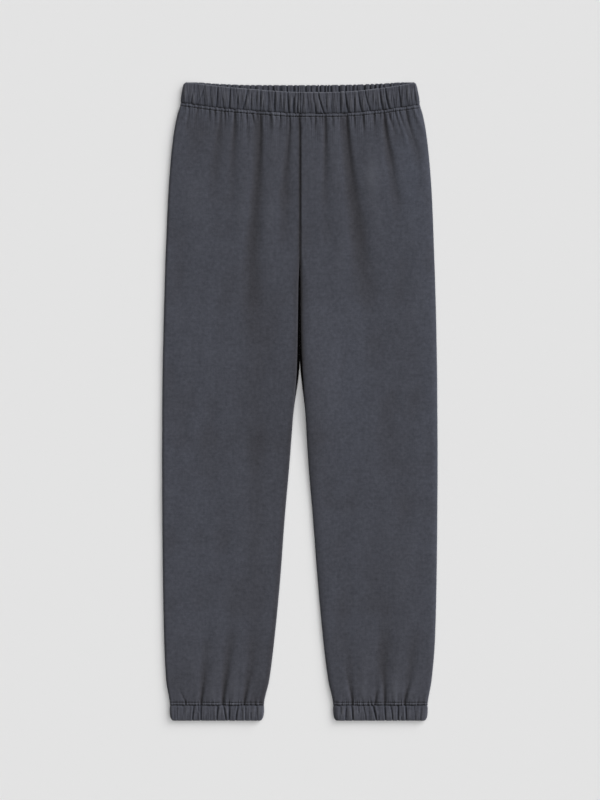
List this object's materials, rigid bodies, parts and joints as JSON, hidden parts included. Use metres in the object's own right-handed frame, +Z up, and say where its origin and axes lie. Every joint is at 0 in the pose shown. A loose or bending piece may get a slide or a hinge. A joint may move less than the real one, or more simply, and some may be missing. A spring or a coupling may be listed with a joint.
{
  "type": "pyjama bottoms",
  "caption": "Long loose pull-on pyjama bottoms in plain knit, laid flat front up, with a gathered elastic waistband and gathered elastic ankle cuffs.",
  "frame": {"origin": "on the surface the garment lies on, under the middle of its length and width", "axes": "+Y from the hems to the waist, +X to the wearer's left, +Z up through the front"},
  "size_m": [0.4274, 0.99, 0.0161],
  "materials": {
    "leg_knit": "matt brushed knit, slate grey, softly mottled",
    "casing_knit": "the same knit doubled over elastic, gathered"
  },
  "bodies": {
    "root": {"front_right": "leg_knit", "front_left": "leg_knit", "back_right": "leg_knit", "back_left": "leg_knit", "waistband_front_right": "casing_knit", "waistband_front_left": "casing_knit", "waistband_back_right": "casing_knit", "waistband_back_left": "casing_knit", "cuff_front_right": "casing_knit", "cuff_front_left": "casing_knit", "cuff_back_right": "casing_knit", "cuff_back_left": "casing_knit"}
  },
  "joints": []
}
